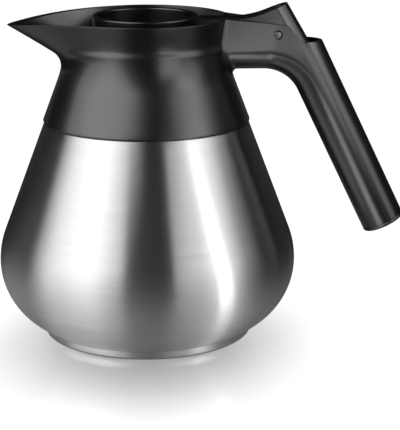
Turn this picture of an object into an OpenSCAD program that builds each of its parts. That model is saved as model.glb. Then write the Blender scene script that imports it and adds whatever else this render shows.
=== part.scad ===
// Vacuum coffee carafe: a steel double-walled vessel, a moulded collar with spout and handle, and a
// lid that a thumb lever flips open. Origin at the centre of the foot's resting face, +Z up, handle
// towards +X, spout towards -X. Millimetres.

/* [Steel vessel] */
// Largest diameter of the body, across the belly
body_d = 170; // [160:1:180]
// Height of the largest diameter above the table
belly_z = 42.8; // [41:0.1:46]
// Radius of the side profile above the belly line
upper_arc_r = 47.5; // [40:0.5:55]
// Thickness of the outer shell's sheet
shell_t = 0.8; // [0.6:0.1:1]
// Thickness of the inner liner's sheet
liner_t = 0.7; // [0.5:0.1:0.9]
// Vacuum gap between the two walls
vacuum_gap = 5; // [4:0.5:6]
// Height of the vessel's welded lip above the table
lip_z = 160.8; // [160:0.2:162]
// How far the steel neck stands inside the collar's waist
neck_inset = 8.2; // [7.9:0.1:8.9]

/* [Base] */
// Diameter of the foot ring
foot_d = 120; // [112:1:122]
// Height of the body's lower edge above the table
body_edge_z = 6.5; // [6:0.1:7.5]
// Width of the rolled bead that the carafe stands on
foot_bead_w = 5; // [4:0.5:7]
// How far the body's lower edge stands outside the foot ring
edge_step = 3.05; // [2.5:0.05:4]
// Depth of the recess under the base
base_recess = 4; // [3.5:0.5:5]
// Thickness of the disc that covers the recess
base_disc_t = 1.6; // [1.2:0.2:2]
// Diameter of the sealed pump-out tip
pump_tip_d = 9; // [7:0.5:12]
// Diameter of the getter tablet in the vacuum
getter_d = 14; // [10:1:18]

/* [Collar] */
// Height of the collar's lower lip above the table
collar_z = 123.4; // [121:0.2:125]
// Height of the rim above the table
rim_z = 182.5; // [181.5:0.5:185]
// Wall of the collar and spout
collar_t = 2.4; // [2.2:0.1:2.6]
// How far the collar's skin stands outside the line of the steel cone
collar_proud = 1.1; // [0.9:0.1:1.3]
// Diameter of the collar at its waist
waist_d = 92.8; // [91:0.2:96]
// Radius of the waist's soft curve at the front of the collar
waist_arc_r = 57; // [50:1:62]
// Height of the middle of the waist at the front
waist_z = 167; // [166:0.2:168]

/* [Spout] */
// Reach of the spout's tip from the axis
spout_reach = 78; // [74:0.5:84]
// Height of the spout's tip above the table
spout_tip_z = 177.8; // [176.5:0.2:179]
// Rise of the spout's underside from the horizontal, in degrees
spout_rise = 30; // [28:0.5:33]
// Radius of the bend under the spout
spout_bend_r = 9.4; // [7:0.2:12]
// Radius of the rounded tip, seen from above
spout_tip_r = 9; // [6:0.5:12]
// Where the spout's sides leave the round rim, in degrees from the tip
spout_spread = 75; // [68:1:80]

/* [Handle] */
// Outside diameter of the grip and width of the bracket
grip_d = 24.4; // [24:0.1:25.6]
// Wall of the grip and bracket
grip_t = 2.1; // [1.9:0.1:2.2]
// Lean of the grip from the vertical, in degrees
grip_lean = 25.7; // [24:0.1:27]
// Height of the bracket's axis above the table
bracket_z = 165.2; // [164.6:0.2:166]
// Where the grip's axis meets the bracket's axis
grip_x = 87.4; // [86:0.2:89]
// Bend radius of the handle's axis under the elbow
elbow_r = 34; // [31:0.5:36]
// Length of the grip's axis from the elbow corner to its end face
grip_len = 113; // [100:1:125]
// Height of the handle's open mouth
mouth_z = 169.2; // [168.8:0.2:169.8]
// Width of the bracket where it leaves the collar
root_w = 33; // [30:0.5:36]

/* [Hinge and lever] */
// Position of the hinge pin from the vessel's axis
pin_x = 73.7; // [73:0.1:74.4]
// Height of the hinge pin
pin_z = 173.4; // [173:0.1:174]
// Diameter of the hinge pin
pin_d = 4; // [3:0.5:4.5]
// Width of the lever and lid arm
lever_w = 19.6; // [18.6:0.1:19.6]
// Height of the thumb plate's top edge
thumb_z = 190.2; // [188.5:0.2:191]
// Wall of the lever moulding
lever_t = 2; // [1.6:0.1:2.4]
// Height of the lid arm's top face
arm_z = 181.7; // [181:0.1:182.2]

/* [Lid] */
// How far the lid's round dish stands inside the mouth
dish_inset = 4.9; // [3.6:0.1:6.6]
// Height of the dish's lip
dish_z = 183.4; // [182.6:0.2:184.4]
// Depth of the dish
dish_depth = 12.4; // [9:0.2:13]
// Wall of the lid mouldings
lid_t = 1.8; // [1.4:0.1:2]
// How far the mouth that the lid closes stands inside the steel neck
mouth_inset = 3.6; // [3.2:0.1:4.2]
// Width of the sealing land round the mouth
land_w = 3.6; // [3:0.1:4]

/* [Clearances] */
// Gap between parts that are welded or glued
joint_gap = 0.1; // [0.05:0.05:0.2]
// Gap between mouldings and what they sit on
seat_gap = 0.3; // [0.2:0.05:0.4]
// Radial running clearance of the pin in the lever
pin_clearance = 0.06; // [0.03:0.01:0.1]
// Radial clearance of the pin in the bracket
pin_fit = 0.02; // [0.01:0.01:0.05]

/* [Hidden] */
$fn = 96;

// Steel body: outer profile
body_r = body_d / 2;
front_r = waist_d / 2;
foot_r = foot_d / 2;

// The straight cone is the common tangent of the belly's arc and the waist's arc
waist_c = [front_r + waist_arc_r, waist_z];
cone_span = waist_c - [collar_proud, 0] - [body_r - upper_arc_r, belly_z];
cone_lean = atan2(cone_span[1], cone_span[0]) - acos((upper_arc_r + waist_arc_r) / norm(cone_span));
cone_z = belly_z + upper_arc_r * sin(cone_lean);
cone_r = body_r - upper_arc_r * (1 - cos(cone_lean));

// The arc under the belly ends at the body's lower edge, just outside the foot ring
edge_r = foot_r + edge_step;
edge_fall = belly_z - body_edge_z;
lower_arc_r = (pow(body_r - edge_r, 2) + edge_fall * edge_fall) / (body_r - edge_r) / 2;
edge_angle = asin(edge_fall / lower_arc_r);
edge_hem = 0.8;

// Stack at the vessel's mouth, from the welded lip outwards
neck_r = front_r - neck_inset;
neck_gap = 1.2;
liner_neck_r = neck_r - shell_t - neck_gap;
sleeve_h = 3.8;
flange_t = 2.4;
gasket_t = 1.4;
ring_cover_t = 2.6;
ring_fall = 1.3;
flange_z = lip_z - sleeve_h;
shoulder_z = flange_z - flange_t - joint_gap;
ring_under_z = lip_z + gasket_t;
land_z = ring_under_z + ring_cover_t;
floor_z = land_z - ring_fall;
sleeve_r = neck_r + seat_gap;
mouth_r = neck_r - mouth_inset;

// Collar: cone, waist arc and front wall
waist_low_z = waist_z - waist_arc_r * sin(cone_lean);
rim_flare = 0.7;
seat_r = front_r - collar_t - 0.35;
flange_r = sleeve_r + 1.2;
lip_round = 1.1;

// Spout's underside in the plane of symmetry: a line through the tip and a bend into the waist
tip_p = [spout_reach, spout_tip_z];
rise_dir = [cos(spout_rise), sin(spout_rise)];
rise_out = [sin(spout_rise), -cos(spout_rise)];
bend_e = tip_p + rise_out * spout_bend_r - waist_c;
bend_s = -bend_e * rise_dir
    - sqrt(pow(bend_e * rise_dir, 2) - bend_e * bend_e + pow(waist_arc_r - spout_bend_r, 2));
bend_c = waist_c + bend_e + bend_s * rise_dir;
bend_to_waist = unit(waist_c - bend_c);
neck_low_z = bend_c[1] - bend_to_waist[1] * (spout_bend_r + collar_t) - 0.5;

// Handle
grip_r = grip_d / 2;
bore_r = grip_r - grip_t;
elbow_turn = 90 - grip_lean;
elbow_back = elbow_r * tan(elbow_turn / 2);
elbow_x = grip_x - elbow_back;
slot_x = front_r + collar_t - 0.4;
blend = 0.04;
slot_half = bore_r - blend;
root_end_x = elbow_x + 5;
cap_t = 2.4;
cap_plug = 9;
arm_bottom_z = arm_z - 6.5;
slot_floor_z = arm_bottom_z - 1.4;

// Lever
thumb_x = pin_x + 5.4;
thumb_slope = 22;
thumb_curve_r = 50;
rear_lean = 30.4;
lever_foot_z = mouth_z - 1.2;
lever_foot_x = thumb_x + (thumb_z - lever_foot_z) * tan(rear_lean);
rail_h = 1.2;
rail_w = 1.4;
back_r = lever_w / 2 + 0.9;
hub_r = pin_d / 2 + 2.3;
lever_low_half = lever_w / 2 - 1.4;

// Lid
dish_r = mouth_r - dish_inset;
dish_lip_w = 2.2;
dish_floor_z = dish_z - dish_depth;
flange_out_r = mouth_r + land_w - 0.3;
seal_low_z = land_z + seat_gap;
seal_t = 1.8;
lid_flange_z = seal_low_z + seal_t + joint_gap;
plug_r = mouth_r - 1.2;
plug_taper = 1.2;
plug_low_z = land_z - 4.4;
spigot_r = dish_r - lid_t - joint_gap;

STEEL = [0.75, 0.74, 0.73];
LINER = [0.70, 0.70, 0.69];
BLACK = [0.06, 0.06, 0.065];
RUBBER = [0.30, 0.30, 0.30];

function unit(v) = v / norm(v);
function left(v) = [-v[1], v[0]];
function arc(c, r, a0, a1, n) = [for (i = [0:n]) c + r * [cos(a0 + (a1 - a0) * i / n), sin(a0 + (a1 - a0) * i / n)]];

// Radius of the bare steel cone's line at height z
function cone_at(z) = cone_r - (z - cone_z) * tan(cone_lean);

// Points of the arc of radius r that rounds the corner b of the path a-b-c
function corner(a, b, c, r, n = 5) =
    let (u = unit(a - b), v = unit(c - b), half = acos(u * v) / 2, m = b + unit(u + v) * r / sin(half),
         s = b + u * r / tan(half) - m, a0 = atan2(s[1], s[0]),
         turn = (180 - 2 * half) * sign(u[0] * v[1] - u[1] * v[0]))
    [for (i = [0:n]) m + r * [cos(a0 - turn * i / n), sin(a0 - turn * i / n)]];

// A sheet of thickness t: the path, and back along its offset to the left (side 1) or right (side -1)
function edge_dir(p, i) = unit(p[min(i + 1, len(p) - 1)] - p[min(i, len(p) - 2)]);
function offset_point(p, i, d) =
    let (a = left(edge_dir(p, max(i - 1, 0))), b = left(edge_dir(p, i)), m = i == 0 ? b : unit(a + b))
    p[i] + m * d / (m * b);
function sheet(p, t, side = 1) = concat(p, [for (i = [len(p) - 1:-1:0]) offset_point(p, i, side * t)]);

// Radius of the collar's wall at its front and sides, moved inwards by inset
function skin(z, inset = 0) =
    z < waist_c[1] - (waist_arc_r + inset) * sin(cone_lean) ? cone_at(z) + collar_proud - inset / cos(cone_lean)
    : z < waist_z ? waist_c[0] - sqrt(pow(waist_arc_r + inset, 2) - pow(waist_z - z, 2))
    : front_r - inset + rim_flare * pow((z - waist_z) / (rim_z - waist_z), 2);

// Reach of the spout's underside at height z, moved inwards by inset
function keel(z, inset = 0) =
    let (r = spout_bend_r + inset, line_z = bend_c[1] + r * cos(spout_rise))
    z > line_z ? bend_c[0] - r * sin(spout_rise) + (z - line_z) / tan(spout_rise)
    : z > bend_c[1] - bend_to_waist[1] * r ? bend_c[0] - sqrt(r * r - pow(z - bend_c[1], 2))
    : skin(z, inset);

// Polar radius, at angle a from +X, of a circle of radius r drawn out to a rounded tip on -X
function drawn_out(r, reach, tip, a) =
    let (q = reach - tip, n = [-cos(spout_spread), sin(spout_spread)],
         side = (q * q + r * r - tip * tip - 2 * q * r * cos(spout_spread)) / 2 / (r - tip - q * cos(spout_spread)),
         c = (r - side) * n, e = unit([-q, 0] - c), p = [-q, 0] + tip * e, d = [cos(a), sin(a)])
    reach < r + 0.01 || a < 180 - spout_spread ? r
    : a < atan2(p[1], p[0]) ? c * d + sqrt(pow(c * d, 2) - c * c + side * side)
    : -q * d[0] + sqrt(q * q * (d[0] * d[0] - 1) + tip * tip);

// Directions of the collar's columns of points, closer together towards the spout's tip
half_columns = 26;
column_pack = 1.25;
half_angles = [for (j = [0:half_columns]) 180 * (1 - pow(1 - j / half_columns, column_pack))];
column_angles = concat(half_angles, [for (j = [half_columns - 1:-1:1]) 360 - half_angles[j]]);

// A ring of points round the collar at height zf, falling to zk at the spout's tip
function ring(zf, zk, inset) =
    let (r = skin(zf, inset), reach = max(keel(zk, inset), r),
         drawn = min(1, (reach - r) / (spout_reach - front_r - rim_flare)),
         tip = r * 0.8 * pow(1 - drawn, 2) + (spout_tip_r - inset) * (1 - pow(1 - drawn, 2)))
    [for (a = column_angles)
        let (s = a > 180 ? 360 - a : a, p = drawn_out(r, reach, tip, s) * [cos(a), sin(a)])
        [p[0], p[1], zf - (zf - zk) * pow(max(0, -p[0]) / reach, 3)]];
function round_ring(r, z) = [for (a = column_angles) [r * cos(a), r * sin(a), z]];

// A solid from closed rings of equally many points; the last ring joins the first when looped
module ring_solid(rings, looped) {
    n = len(rings[0]);
    k = len(rings);
    sides = [for (i = [0:k - (looped ? 1 : 2)], j = [0:n - 1])
        let (a = i * n + j, b = i * n + (j + 1) % n, c = ((i + 1) % k) * n + (j + 1) % n, d = ((i + 1) % k) * n + j)
        each [[a, c, b], [a, d, c]]];
    ends = looped ? [] : [[for (j = [0:n - 1]) j], [for (j = [n - 1:-1:0]) (k - 1) * n + j]];
    polyhedron([for (r = rings) each r], concat(sides, ends));
}

module turned(points) rotate_extrude() polygon(points);

// Extrudes an outline drawn in X and Z to both sides of the plane of symmetry
module side_slab(points, half) rotate([90, 0, 0]) linear_extrude(2 * half, center = true) polygon(points);

// Moves and turns a child so that its Z axis runs up the grip's axis from the elbow corner
module on_grip_axis() translate([grip_x, 0, bracket_z]) rotate([0, -grip_lean, 0]) children();

module outer_shell() color(STEEL) turned(sheet(concat(
    [[foot_r + joint_gap, body_edge_z - edge_hem]],
    [[edge_r - edge_hem, body_edge_z - edge_hem]],
    arc([body_r - lower_arc_r, belly_z], lower_arc_r, -edge_angle, 0, 16),
    arc([body_r - upper_arc_r, belly_z], upper_arc_r, 3, cone_lean, 6),
    [[cone_at(collar_z - seat_gap), collar_z - seat_gap]],
    [[under_collar_r(collar_z - seat_gap), collar_z - seat_gap]],
    corner([under_collar_r(collar_z), collar_z], [under_collar_r(shoulder_z), shoulder_z], [neck_r, shoulder_z], 4),
    corner([under_collar_r(shoulder_z), shoulder_z], [neck_r, shoulder_z], [neck_r, lip_z], 1.6),
    corner([neck_r, shoulder_z], [neck_r, lip_z], [liner_neck_r, lip_z], 1.1),
    [[liner_neck_r + joint_gap, lip_z]]
), shell_t));

// The steel under the collar follows the collar's wall
function under_collar_r(z) = cone_at(z) + collar_proud - collar_t / cos(cone_lean) - seat_gap;

module inner_liner() {
    wall = shell_t + vacuum_gap;
    corner_r = 14;
    low_r = max(lower_arc_r - wall, belly_z - liner_floor_z + 0.5);
    low_c = [body_r - wall - low_r, belly_z];
    floor_c = liner_floor_z + corner_r;
    corner_x = low_c[0] + sqrt(pow(low_r - corner_r, 2) - pow(belly_z - floor_c, 2));
    meet = atan2(floor_c - belly_z, corner_x - low_c[0]);
    top_z = shoulder_z - shell_t - 3.5;
    top_r = cone_at(top_z) - wall / cos(cone_lean);
    color(LINER) turned(sheet(concat(
        [[0, liner_floor_z]],
        arc([corner_x, floor_c], corner_r, -90, meet, 6),
        arc(low_c, low_r, meet + 4, 0, 9),
        arc([body_r - upper_arc_r, belly_z], upper_arc_r - wall, 3, cone_lean, 6),
        corner([cone_at(cone_z) - wall / cos(cone_lean), cone_z], [top_r, top_z], [liner_neck_r, top_z], 2.5),
        corner([top_r, top_z], [liner_neck_r, top_z], [liner_neck_r, lip_z], 1.4),
        [[liner_neck_r, lip_z]]
    ), liner_t));
}
liner_floor_z = base_recess + shell_t + vacuum_gap + 2;

module base_pan() {
    bead_r = foot_r - foot_bead_w;
    tip_hole_r = 2;
    color(STEEL) turned(sheet(concat(
        [[foot_r, body_edge_z + 2.5]],
        corner([foot_r, body_edge_z], [foot_r, 0], [bead_r, 0], 1.7),
        corner([foot_r, 0], [bead_r, 0], [bead_r, base_recess], 1.7),
        corner([bead_r, 0], [bead_r, base_recess], [0, base_recess], 0.6),
        [[tip_hole_r, base_recess]]
    ), shell_t, -1));
}

module pump_tip_seal() {
    stem_r = 2 - joint_gap;
    bead_h = 0.9;
    color(LINER) {
        translate([0, 0, base_recess - bead_h]) cylinder(h = bead_h - joint_gap, r1 = pump_tip_d / 2 - 1, r2 = pump_tip_d / 2);
        translate([0, 0, base_recess - bead_h]) cylinder(h = bead_h + shell_t, r = stem_r);
    }
}

module getter() color(LINER)
    translate([0, 0, liner_floor_z - joint_gap - 1.6]) cylinder(h = 1.6, d = getter_d);

module base_disc() {
    disc_r = foot_r - foot_bead_w - seat_gap;
    rim_h = 1;
    rim_w = 4;
    top_z = base_recess - joint_gap;
    color(BLACK) turned([
        [0, top_z - rim_h - base_disc_t], [disc_r - 0.6, top_z - rim_h - base_disc_t],
        [disc_r, top_z - rim_h - base_disc_t + 0.6], [disc_r, top_z], [disc_r - rim_w, top_z],
        [disc_r - rim_w, top_z - rim_h], [0, top_z - rim_h]
    ]);
}

// Collar's wall with the spout, from its lower lip over the rim and down inside to the clamped flange
module collar_shell() {
    outer_steps = [0, 0.09, 0.18, 0.26, 0.34, 0.42, 0.5, 0.6, 0.72, 0.86, 1];
    inner_steps = [1, 0.86, 0.7, 0.55, 0.4, 0.27, 0.15, 0.06, 0];
    ring_solid(concat(
        [round_ring(skin(collar_z) - lip_round / 2, collar_z)],
        [round_ring(skin(collar_z + lip_round), collar_z + lip_round)],
        [round_ring(skin(waist_low_z), waist_low_z)],
        [for (s = outer_steps) ring(
            neck_low_z + s * (rim_z - neck_low_z), neck_low_z + s * (spout_tip_z - neck_low_z), 0)],
        [for (s = inner_steps) ring(floor_z + s * (rim_z - floor_z), floor_z + s * (spout_tip_z - floor_z), collar_t)],
        [round_ring(seat_r, floor_z)],
        [round_ring(seat_r, flange_z)],
        [round_ring(flange_r, flange_z)],
        [round_ring(flange_r, flange_z - flange_t)],
        [for (z = [flange_z - flange_t, waist_low_z + 3, waist_low_z - 1, collar_z]) round_ring(skin(z, collar_t), z)]
    ), true);
}

// Outside of the bracket where it spreads out to meet the collar
module bracket_root() {
    stations = 12;
    start_x = front_r - 9;
    flare_x = front_r + 6.5;
    root_half = root_w / 2;
    ring_solid([for (i = [0:stations])
        let (x = start_x + (root_end_x - start_x) * i / stations,
             taper = grip_r - 0.2 + (root_half - grip_r + 0.2) * (root_end_x - x) / (root_end_x - flare_x),
             near = max(0, (flare_x - x) / (flare_x - start_x)),
             half = taper + 6 * pow(near, 2), low = grip_r - 0.1 + 4 * pow(near, 2))
        concat([[x, -half, rim_z + 4]],
            [for (a = [180:-18:0]) [x, half * cos(a), bracket_z - low * sin(a)]],
            [[x, half, rim_z + 4]])
    ], false);
}

// The collar's wall at half its thickness: the bracket ends on this surface
module inside_of_wall() {
    heights = [collar_z - 30, waist_low_z, waist_low_z + 5, waist_low_z + 10, waist_z - 5, waist_z, rim_z + 9];
    turned(concat([[0, collar_z - 30]], [for (z = heights) [skin(min(z, rim_z), collar_t / 2), z]], [[0, rim_z + 9]]));
}

// The bracket, elbow and grip as a round bar of radius r, back from the elbow and down the grip
module bent_bar(r, back, length) {
    lap = 3;
    translate([elbow_x - back, 0, bracket_z]) rotate([0, 90, 0]) cylinder(h = back + 8, r = r);
    translate([elbow_x, 0, bracket_z - elbow_r]) rotate([90, 0, 0]) rotate([0, 0, 90 - elbow_turn - lap])
        rotate_extrude(angle = elbow_turn + 2 * lap) translate([elbow_r, 0]) circle(r - blend);
    on_grip_axis() translate([0, 0, -length]) cylinder(h = length + 20, r = r);
}

// The straight-sided part above the bar's axis, as far back as the grip's axis
module bar_sides(from_x, half) {
    up = 22;
    side_slab(concat(
        [[from_x, bracket_z]], arc([elbow_x, bracket_z - elbow_r], elbow_r, 90, 90 - elbow_turn, 8),
        [[grip_x - up * tan(grip_lean), bracket_z + up]], [[from_x, bracket_z + up]]
    ), half);
}

// Everything above the bracket's top edge and the handle's open mouth
module above_bracket() {
    edge_a = [front_r - 12, rim_z];
    edge_b = [pin_x + 6.3, pin_z + 4.9];
    edge_c = [edge_b[0] + (edge_b[1] - mouth_z) / tan(53), mouth_z];
    side_slab(concat(
        [edge_a - [20, 0]], [edge_a],
        corner(edge_a, edge_b, edge_c, 4),
        corner(edge_b, edge_c, edge_c + [30, 0], 5),
        [edge_c + [30, 0]], [edge_c + [30, 40]], [edge_a + [-20, 40]]
    ), body_r);
}

module bracket_and_grip() difference() {
    union() {
        bracket_root();
        bent_bar(grip_r, 6, grip_len - cap_t);
        bar_sides(elbow_x - 6, grip_r - blend);
    }
    above_bracket();
    inside_of_wall();
}

module collar() {
    chamfer = 0.65;
    color(BLACK) difference() {
        union() {
            collar_shell();
            bracket_and_grip();
        }
        bent_bar(bore_r, elbow_x - slot_x, grip_len);
        bar_sides(slot_x, slot_half);
        translate([front_r - 8, -slot_half, slot_floor_z]) cube([14, 2 * slot_half, 40]);
        translate([pin_x, 0, pin_z]) rotate([90, 0, 0]) {
            cylinder(h = grip_d + 2, r = pin_d / 2 + pin_fit, center = true);
            for (side = [-1, 1]) rotate([side * 90 - 90, 0, 0]) translate([0, 0, grip_r - chamfer])
                cylinder(h = 2 * chamfer, r1 = pin_d / 2, r2 = pin_d / 2 + 2 * chamfer);
        }
    }
}

module neck_gasket() color(RUBBER) turned([
    [liner_neck_r - liner_t, lip_z + joint_gap / 2], [neck_r, lip_z + joint_gap / 2],
    [neck_r, ring_under_z - joint_gap / 2], [liner_neck_r - liner_t, ring_under_z - joint_gap / 2]
]);

oring_r = 0.9;
oring_gap = 0.2;
oring_z = (flange_z + floor_z) / 2;

module mouth_ring() {
    out_r = seat_r - seat_gap;
    skirt_r = liner_neck_r - liner_t - seat_gap;
    groove_r = seat_r - 2 * oring_r - oring_gap - joint_gap;
    groove_half = oring_r + 0.15;
    skirt_z = lip_z - 3;
    color(BLACK) turned([
        [sleeve_r, flange_z + joint_gap], [out_r, flange_z + joint_gap], [out_r, oring_z - groove_half],
        [groove_r, oring_z - groove_half], [groove_r, oring_z + groove_half], [out_r, oring_z + groove_half],
        [out_r, floor_z], [mouth_r + land_w, land_z], [mouth_r, land_z], [mouth_r, skirt_z],
        [skirt_r, skirt_z], [skirt_r, ring_under_z], [sleeve_r, ring_under_z]
    ]);
}

module collar_oring() color(RUBBER)
    rotate_extrude() translate([seat_r - oring_r - oring_gap, oring_z]) circle(oring_r);

module handle_cap() {
    plug_r = bore_r - joint_gap;
    color(BLACK) on_grip_axis() translate([0, 0, -grip_len]) difference() {
        union() {
            turned([
                [0, 0], [grip_r - 1.4, 0], [grip_r - 0.4, 0.4], [grip_r, 1.4], [grip_r, cap_t - joint_gap],
                [0, cap_t - joint_gap]
            ]);
            cylinder(h = cap_plug, r = plug_r);
        }
        translate([0, 0, cap_t]) cylinder(h = cap_plug, r = plug_r - 1.8);
    }
}

module hinge_pin() {
    chamfer = 0.4;
    end_gap = 0.3;
    half = grip_r - end_gap;
    color([0.2, 0.2, 0.21]) translate([pin_x, 0, pin_z]) rotate([90, 0, 0]) turned([
        [0, -half], [pin_d / 2 - chamfer, -half], [pin_d / 2, -half + chamfer], [pin_d / 2, half - chamfer],
        [pin_d / 2 - chamfer, half], [0, half]
    ]);
}

// Top line of the lever from the dish to the thumb's edge, lowered by drop
turn_x = thumb_x - (thumb_z - arm_z) / tan(thumb_slope);
function lever_top(drop) = concat([[dish_r - 4, arm_z - drop]],
    corner([dish_r, arm_z - drop], [turn_x + drop * tan(thumb_slope / 2), arm_z - drop],
        [thumb_x + 20, thumb_z + 20 * tan(thumb_slope) - drop / cos(thumb_slope)], thumb_curve_r + drop, 8),
    [[thumb_x + 20, thumb_z + 20 * tan(thumb_slope) - drop / cos(thumb_slope)]]);

// Everything ahead of the lever's rounded rear, which is moved in by inset
module ahead_of_rear(inset) translate([lever_foot_x, 0, lever_foot_z]) rotate([0, -rear_lean, 0])
    translate([-back_r, 0, -60]) {
        cylinder(h = 110, r = back_r - inset);
        translate([-90, -lever_w, 0]) cube([90, 2 * lever_w, 110]);
    }

module lever_body() {
    low_x = pin_x + 8;
    difference() {
        intersection() {
            side_slab(concat(lever_top(0), [
                [thumb_x + 20, lever_foot_z], [low_x, lever_foot_z], [pin_x - hub_r, pin_z - hub_r],
                [pin_x - 2 * hub_r, arm_bottom_z], [dish_r - 4, arm_bottom_z]
            ]), lever_w / 2);
            ahead_of_rear(0);
        }
        // Dished top inside the side rails and the thumb's rear edge
        intersection() {
            side_slab(concat(
                [for (p = lever_top(rail_h)) [max(p[0], dish_r + 1), p[1]]],
                [[thumb_x + 20, thumb_z + 30], [dish_r + 1, thumb_z + 30]]
            ), lever_w / 2 - rail_w);
            ahead_of_rear(rail_w);
        }
    }
}

module lid() {
    wall = dish_r - lid_t;
    color(BLACK) difference() {
        union() {
            lever_body();
            turned([
                [0, dish_floor_z - lid_t], [spigot_r + joint_gap, dish_floor_z - lid_t],
                [spigot_r + joint_gap, lid_flange_z], [flange_out_r, lid_flange_z],
                [flange_out_r, lid_flange_z + lid_t - 0.5], [flange_out_r - 0.5, lid_flange_z + lid_t],
                [dish_r + 1.5, lid_flange_z + lid_t], [dish_r, lid_flange_z + lid_t + 1.5],
                [dish_r, dish_z - 0.7], [dish_r - 0.7, dish_z], [0, dish_z]
            ]);
        }
        turned(concat([[0, dish_floor_z]], corner([0, dish_floor_z], [dish_r - dish_lip_w, dish_floor_z],
            [dish_r - dish_lip_w, dish_z], 3), [[dish_r - dish_lip_w, dish_z + 9]], [[0, dish_z + 9]]));
        lever_hollow();
        translate([pin_x, 0, pin_z]) rotate([90, 0, 0])
            cylinder(h = lever_w + 2, r = pin_d / 2 + pin_clearance, center = true);
        // The foot of the lever is narrower, to swing down inside the handle
        for (side = [-1, 1]) translate([pin_x + hub_r, side * (lever_low_half + 5) - 5, pin_z - 40.6])
            cube([30, 10, 40]);
    }
}

// Space inside the lever moulding, open below, with the hub left standing round the pin
module lever_hollow() difference() {
    front_x = dish_r + lever_t;
    intersection() {
        side_slab(concat(
            [for (p = lever_top(rail_h + lever_t)) [max(p[0], front_x), p[1]]],
            [[thumb_x + 20, lever_foot_z - 30], [front_x, lever_foot_z - 30]]
        ), lever_low_half - lever_t);
        ahead_of_rear(lever_t);
    }
    translate([pin_x, 0, pin_z]) rotate([90, 0, 0]) cylinder(h = lever_w, r = hub_r, center = true);
}

module lid_plug() {
    rest_z = lid_flange_z - joint_gap;
    low_r = plug_r - plug_taper;
    color(BLACK) turned([
        [0, plug_low_z], [low_r - 1, plug_low_z], [low_r, plug_low_z + 1], [plug_r, rest_z],
        [spigot_r, rest_z], [spigot_r, dish_floor_z - lid_t - joint_gap],
        [spigot_r - lid_t, dish_floor_z - lid_t - joint_gap], [spigot_r - lid_t, rest_z - lid_t],
        [low_r - lid_t, rest_z - lid_t], [low_r - lid_t, plug_low_z + lid_t], [0, plug_low_z + lid_t]
    ]);
}

module lid_seal() color(RUBBER) turned([
    [plug_r + joint_gap, seal_low_z], [flange_out_r - 1.2, seal_low_z], [flange_out_r - 0.4, seal_low_z + 0.8],
    [flange_out_r - 0.4, seal_low_z + seal_t], [plug_r + joint_gap, seal_low_z + seal_t]
]);

outer_shell();
inner_liner();
base_pan();
pump_tip_seal();
getter();
base_disc();
collar();
neck_gasket();
mouth_ring();
collar_oring();
handle_cap();
hinge_pin();
lid();
lid_plug();
lid_seal();
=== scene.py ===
from math import acos, asin, atan2, cos, degrees, hypot, pi, radians, sin, sqrt, tan

import bmesh
import bpy
import numpy as np
from mathutils import Matrix, Vector


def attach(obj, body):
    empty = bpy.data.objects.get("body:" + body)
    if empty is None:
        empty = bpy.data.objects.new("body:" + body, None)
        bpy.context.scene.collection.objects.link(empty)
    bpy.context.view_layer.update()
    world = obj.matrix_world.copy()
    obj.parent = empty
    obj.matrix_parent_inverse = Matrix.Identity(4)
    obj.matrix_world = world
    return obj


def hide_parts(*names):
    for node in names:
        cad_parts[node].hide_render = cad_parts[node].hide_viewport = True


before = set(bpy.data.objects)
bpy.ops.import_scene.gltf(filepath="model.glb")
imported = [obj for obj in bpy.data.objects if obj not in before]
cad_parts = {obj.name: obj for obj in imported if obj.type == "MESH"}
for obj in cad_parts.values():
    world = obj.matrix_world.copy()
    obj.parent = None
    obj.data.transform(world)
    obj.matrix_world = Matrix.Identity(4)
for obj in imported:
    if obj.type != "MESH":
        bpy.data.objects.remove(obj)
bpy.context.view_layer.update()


# ---------------------------------------------------------------------------------------------
# The studio: a white table in a white room, a softbox with a brighter core at each side, and black
# and lit cards out of the picture, which show only in the object's own reflections. The camera
# stands where the photograph was taken from.
# ---------------------------------------------------------------------------------------------
def put_in_scene(name, data):
    placed = bpy.data.objects.new(name, data)
    bpy.context.scene.collection.objects.link(placed)
    return placed


camera_data = bpy.data.cameras.new("camera")
camera_data.sensor_width = 36
camera_data.lens = 136.57
camera = put_in_scene("camera", camera_data)
camera.location = (0.0304, -0.9098, 0.3133)
camera.rotation_euler = (radians(74.859), 0, 0)
bpy.context.scene.camera = camera
bpy.context.scene.view_settings.view_transform = "Standard"


def node_maker(tree):
    """A short way to add nodes to a tree: an input is a value, or the socket that it is linked from."""
    def node(kind, inputs=None, **settings):
        made = tree.nodes.new(kind)
        for key, value in settings.items():
            setattr(made, key, value)
        for key, value in (inputs or {}).items():
            if isinstance(value, bpy.types.NodeSocket):
                tree.links.new(value, made.inputs[key])
            else:
                made.inputs[key].default_value = value
        return made

    return node


def new_finish(name):
    """A material with an empty node tree, and the function that adds nodes to it."""
    finish = bpy.data.materials.new(name)
    finish.use_nodes = True
    finish.node_tree.nodes.clear()
    return finish, node_maker(finish.node_tree)


def show(node, shader):
    """Makes a shader the surface of the material whose nodes are being made."""
    node("ShaderNodeOutputMaterial", {"Surface": shader.outputs[0]})


def stage_plane(name, corners, finish):
    plane_mesh = bpy.data.meshes.new(name)
    plane_mesh.from_pydata(corners, [], [(0, 1, 2, 3)])
    plane_mesh.materials.append(finish)
    plane = put_in_scene(name, plane_mesh)
    return plane


# The table is paper lit by the lamps, with a glow of its own that is painted weaker under the object as a
# painted shadow, and a faint mirror of the object
white = (1, 1, 1, 1)
share_in_mirrors = 0.12

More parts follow.
